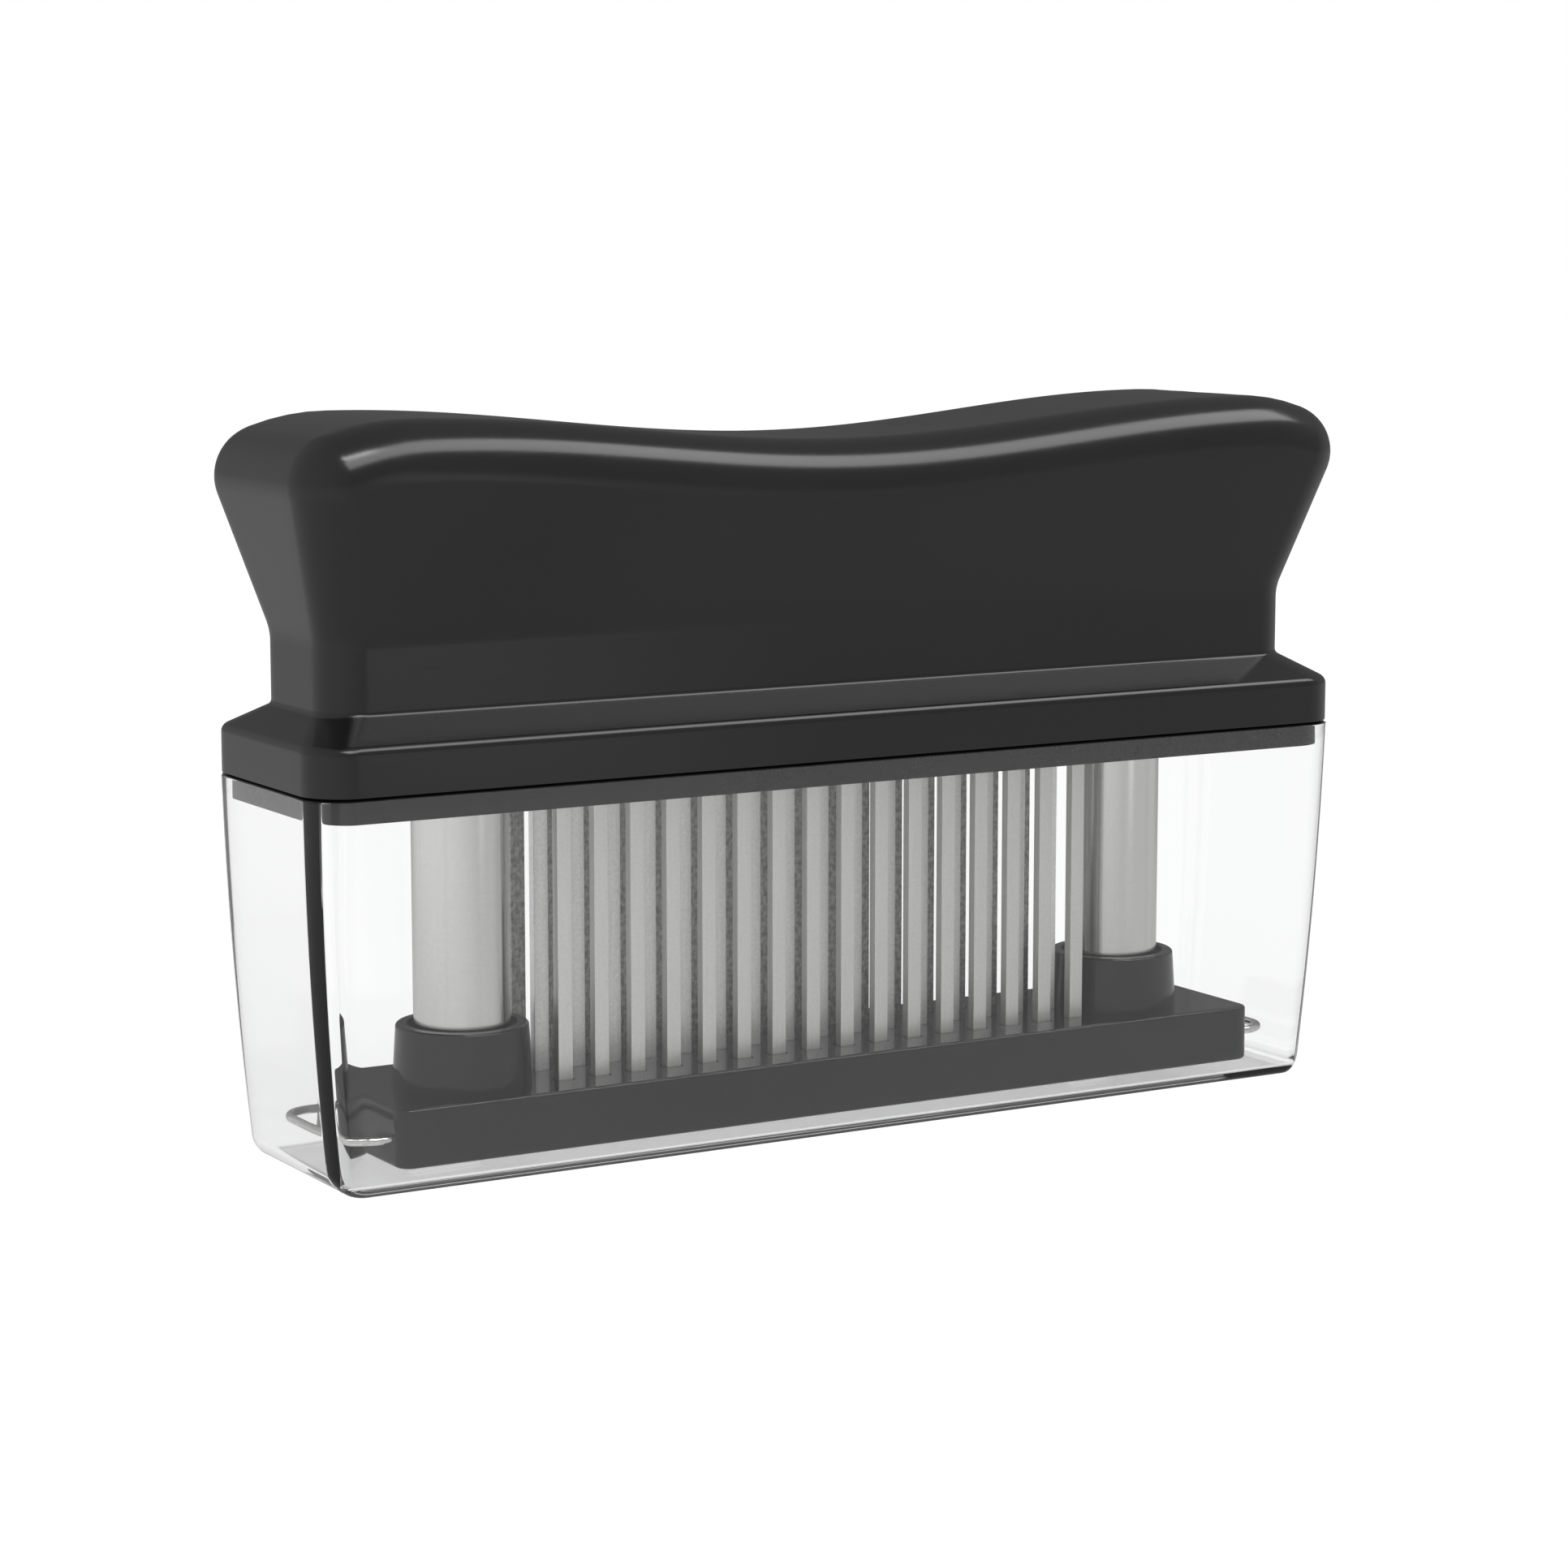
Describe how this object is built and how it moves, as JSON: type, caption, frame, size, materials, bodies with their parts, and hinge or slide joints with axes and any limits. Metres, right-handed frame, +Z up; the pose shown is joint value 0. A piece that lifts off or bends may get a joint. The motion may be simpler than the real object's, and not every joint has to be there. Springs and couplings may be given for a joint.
{
  "type": "blade meat tenderizer",
  "caption": "Press-type meat tenderizer: wavy black grip, rows of steel blades, sprung slotted guard plate on two posts, standing in a clear tapered blade cover.",
  "frame": {"origin": "centre of the clear cover's flat underside, on the surface the tool stands on", "axes": "+X along the tool's length, +Y across its depth away from the front, +Z up towards the grip"},
  "size_m": [0.1568, 0.0362, 0.0955],
  "materials": {
    "clear_plastic": "clear moulded plastic, polished",
    "black_handle_plastic": "black moulded plastic, satin gloss",
    "black_holder_plastic": "black moulded plastic, satin",
    "black_guard_plastic": "black moulded plastic, satin gloss",
    "cartridge_plastic": "dark grey moulded plastic",
    "bush_plastic": "natural white bearing plastic",
    "blade_steel": "ground stainless steel",
    "post_steel": "satin stainless steel tube",
    "steel_hardware": "plain stainless steel",
    "spring_steel": "drawn spring wire",
    "clip_wire": "bright stainless wire"
  },
  "bodies": {
    "cover": {"clear_cover": "clear_plastic"},
    "handle": {"handle_shell": "black_handle_plastic", "blade_holder": "black_holder_plastic", "holder_screws": "steel_hardware", "cartridge_retainer": "black_holder_plastic", "front_blade_cartridge": "cartridge_plastic", "middle_blade_cartridge": "cartridge_plastic", "rear_blade_cartridge": "cartridge_plastic", "front_blades": "blade_steel", "middle_blades": "blade_steel", "rear_blades": "blade_steel", "left_guide_bush": "bush_plastic", "right_guide_bush": "bush_plastic", "left_spring_seat": "bush_plastic", "right_spring_seat": "bush_plastic", "left_return_spring": "spring_steel", "right_return_spring": "spring_steel"},
    "guard": {"guard_plate": "black_guard_plastic", "left_post": "post_steel", "right_post": "post_steel", "left_post_foot": "steel_hardware", "right_post_foot": "steel_hardware", "left_stop_ring": "steel_hardware", "right_stop_ring": "steel_hardware", "left_wire_clip": "clip_wire", "right_wire_clip": "clip_wire"}
  },
  "joints": [
    {"name": "cover_lift", "type": "slide", "parent": "cover", "child": "handle", "axis": [0, 0, 1], "range_m": [0, 0.08]},
    {"name": "guard_press", "type": "slide", "parent": "handle", "child": "guard", "axis": [0, 0, 1], "range_m": [0, 0.028], "stiffness_N_per_m": 800, "springref_m": -0.0136, "deforming": ["left_return_spring", "right_return_spring"]}
  ]
}
